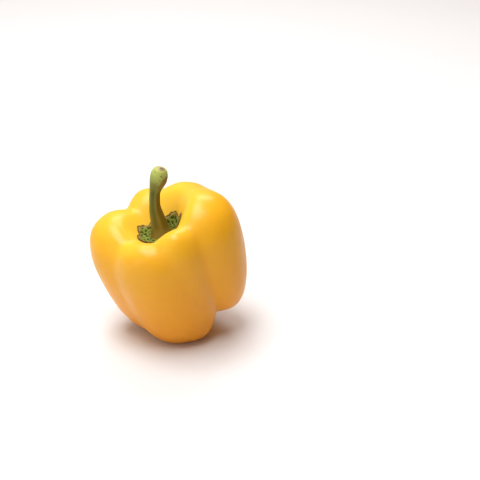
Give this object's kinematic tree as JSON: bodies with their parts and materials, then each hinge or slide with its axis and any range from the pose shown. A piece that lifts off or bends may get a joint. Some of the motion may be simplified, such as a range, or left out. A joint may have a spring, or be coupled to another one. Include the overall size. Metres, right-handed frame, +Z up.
{
  "type": "bell pepper",
  "caption": "Whole yellow bell pepper with soft lobes, sunken shoulders, a wrinkled green calyx and a curved cut stem, standing on its blossom end and leaning to one side.",
  "frame": {"origin": "on the surface that the pepper stands on, under the middle of its bounding box", "axes": "+Z up out of the surface, +X to the right as the picture shows the pepper, which leans to -X, and +Y away from the camera"},
  "size_m": [0.0858, 0.0716, 0.1014],
  "materials": {
    "pepper_skin": "smooth waxy golden yellow skin, glossy",
    "calyx_green": "wrinkled dark green with paler veins, satin",
    "stem_green": "olive green, lightly ribbed, satin, with a dry pale cut end"
  },
  "bodies": {
    "root": {"fruit": "pepper_skin", "calyx": "calyx_green", "stem": "stem_green"}
  },
  "joints": []
}
